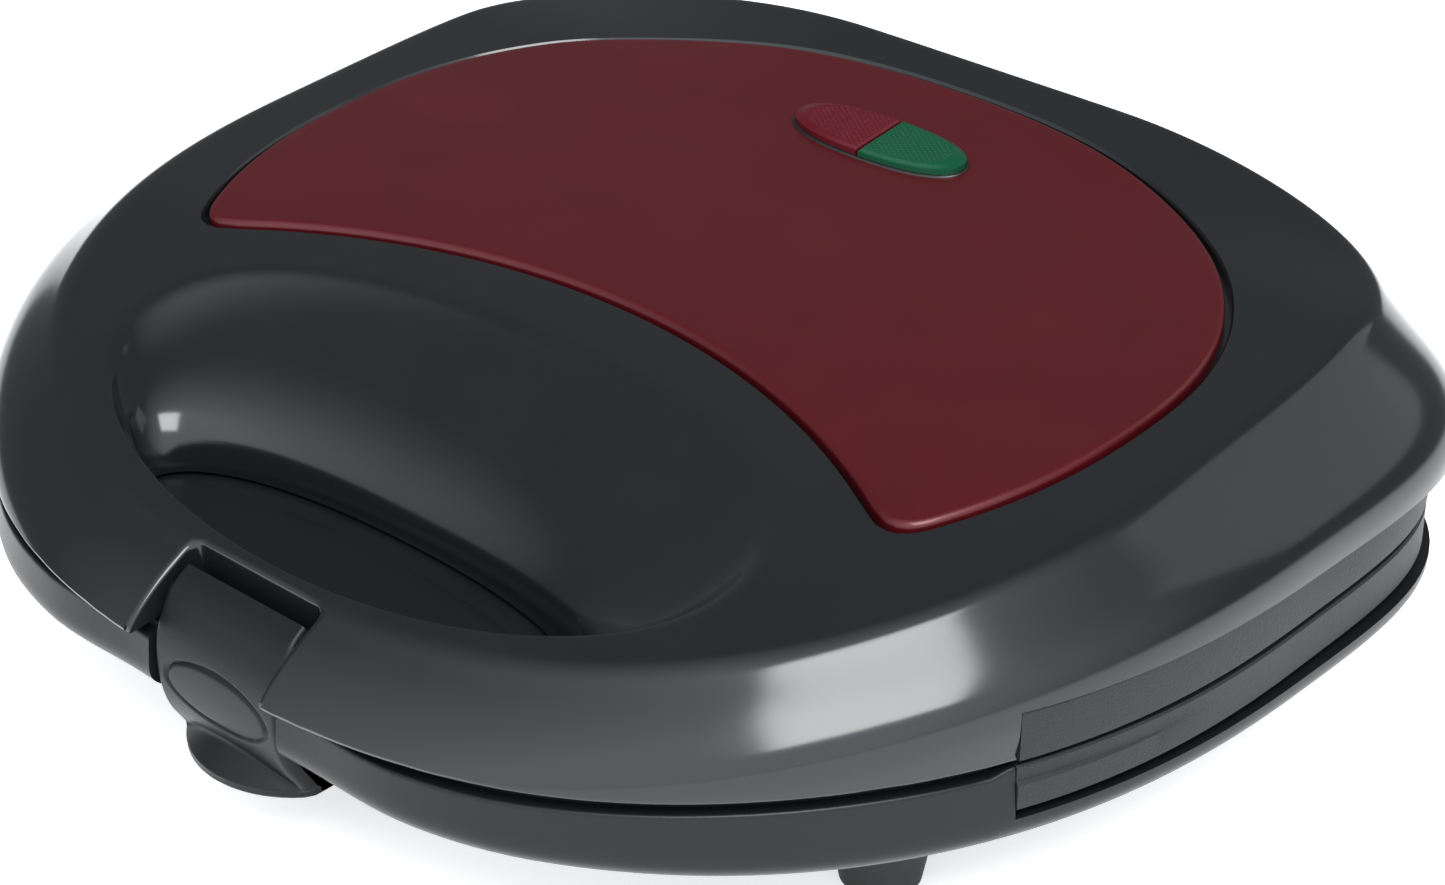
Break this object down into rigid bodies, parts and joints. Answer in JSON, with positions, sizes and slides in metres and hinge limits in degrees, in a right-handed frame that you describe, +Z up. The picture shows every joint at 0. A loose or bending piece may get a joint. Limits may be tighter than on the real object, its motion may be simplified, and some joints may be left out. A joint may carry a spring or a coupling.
{
  "type": "donut maker",
  "caption": "Hinged electric donut maker with a sloped glossy lid, grip scoop, front latch and ring moulds in two heated plates.",
  "frame": {"origin": "centre of the outline at floor level, under the feet", "axes": "+X to the right seen from the latch, +Y to the hinge at the back, +Z up"},
  "size_m": [0.2402, 0.2079, 0.0738],
  "materials": {
    "gloss_black": "glossy, near black",
    "maroon": "satin maroon lacquer",
    "red_lens": "tinted, prism pattern",
    "green_lens": "tinted, prism pattern",
    "inner_plastic": "heat-proof, pale",
    "lamp_glass": "clear",
    "cast_plate": "dark non-stick coat",
    "steel": "plain",
    "sheet": "bright sheet",
    "grey_plastic": "satin dark grey",
    "latch_plastic": "satin dark grey",
    "rubber": "matt"
  },
  "bodies": {
    "base": {"lower_housing": "grey_plastic", "lower_plate": "cast_plate", "lower_heating_element": "steel", "lower_reflector": "sheet", "lower_plate_screws": "steel", "lower_thermostat": "sheet", "thermal_fuse": "steel", "terminal_block": "inner_plastic", "mains_inlet": "rubber", "hinge_pin_left": "steel", "hinge_pin_right": "steel", "foot_front_left": "rubber", "foot_front_right": "rubber", "foot_rear_left": "rubber", "foot_rear_right": "rubber"},
    "lid": {"upper_housing": "gloss_black", "top_panel": "maroon", "red_lens": "red_lens", "green_lens": "green_lens", "lamp_holder": "inner_plastic", "power_lamp": "lamp_glass", "ready_lamp": "lamp_glass", "upper_plate": "cast_plate", "upper_heating_element": "steel", "upper_reflector": "sheet", "upper_plate_screws": "steel", "upper_thermostat": "sheet", "latch_pin": "steel"},
    "latch": {"latch": "latch_plastic"}
  },
  "joints": [
    {"name": "lid_hinge", "type": "hinge", "parent": "base", "child": "lid", "pos_m": [0, 0.0982, 0.037], "axis": [-1, 0, 0], "range_deg": [0, 105]},
    {"name": "latch_pivot", "type": "hinge", "parent": "lid", "child": "latch", "pos_m": [0, -0.0925, 0.0382], "axis": [-1, 0, 0], "range_deg": [0, 40]}
  ]
}
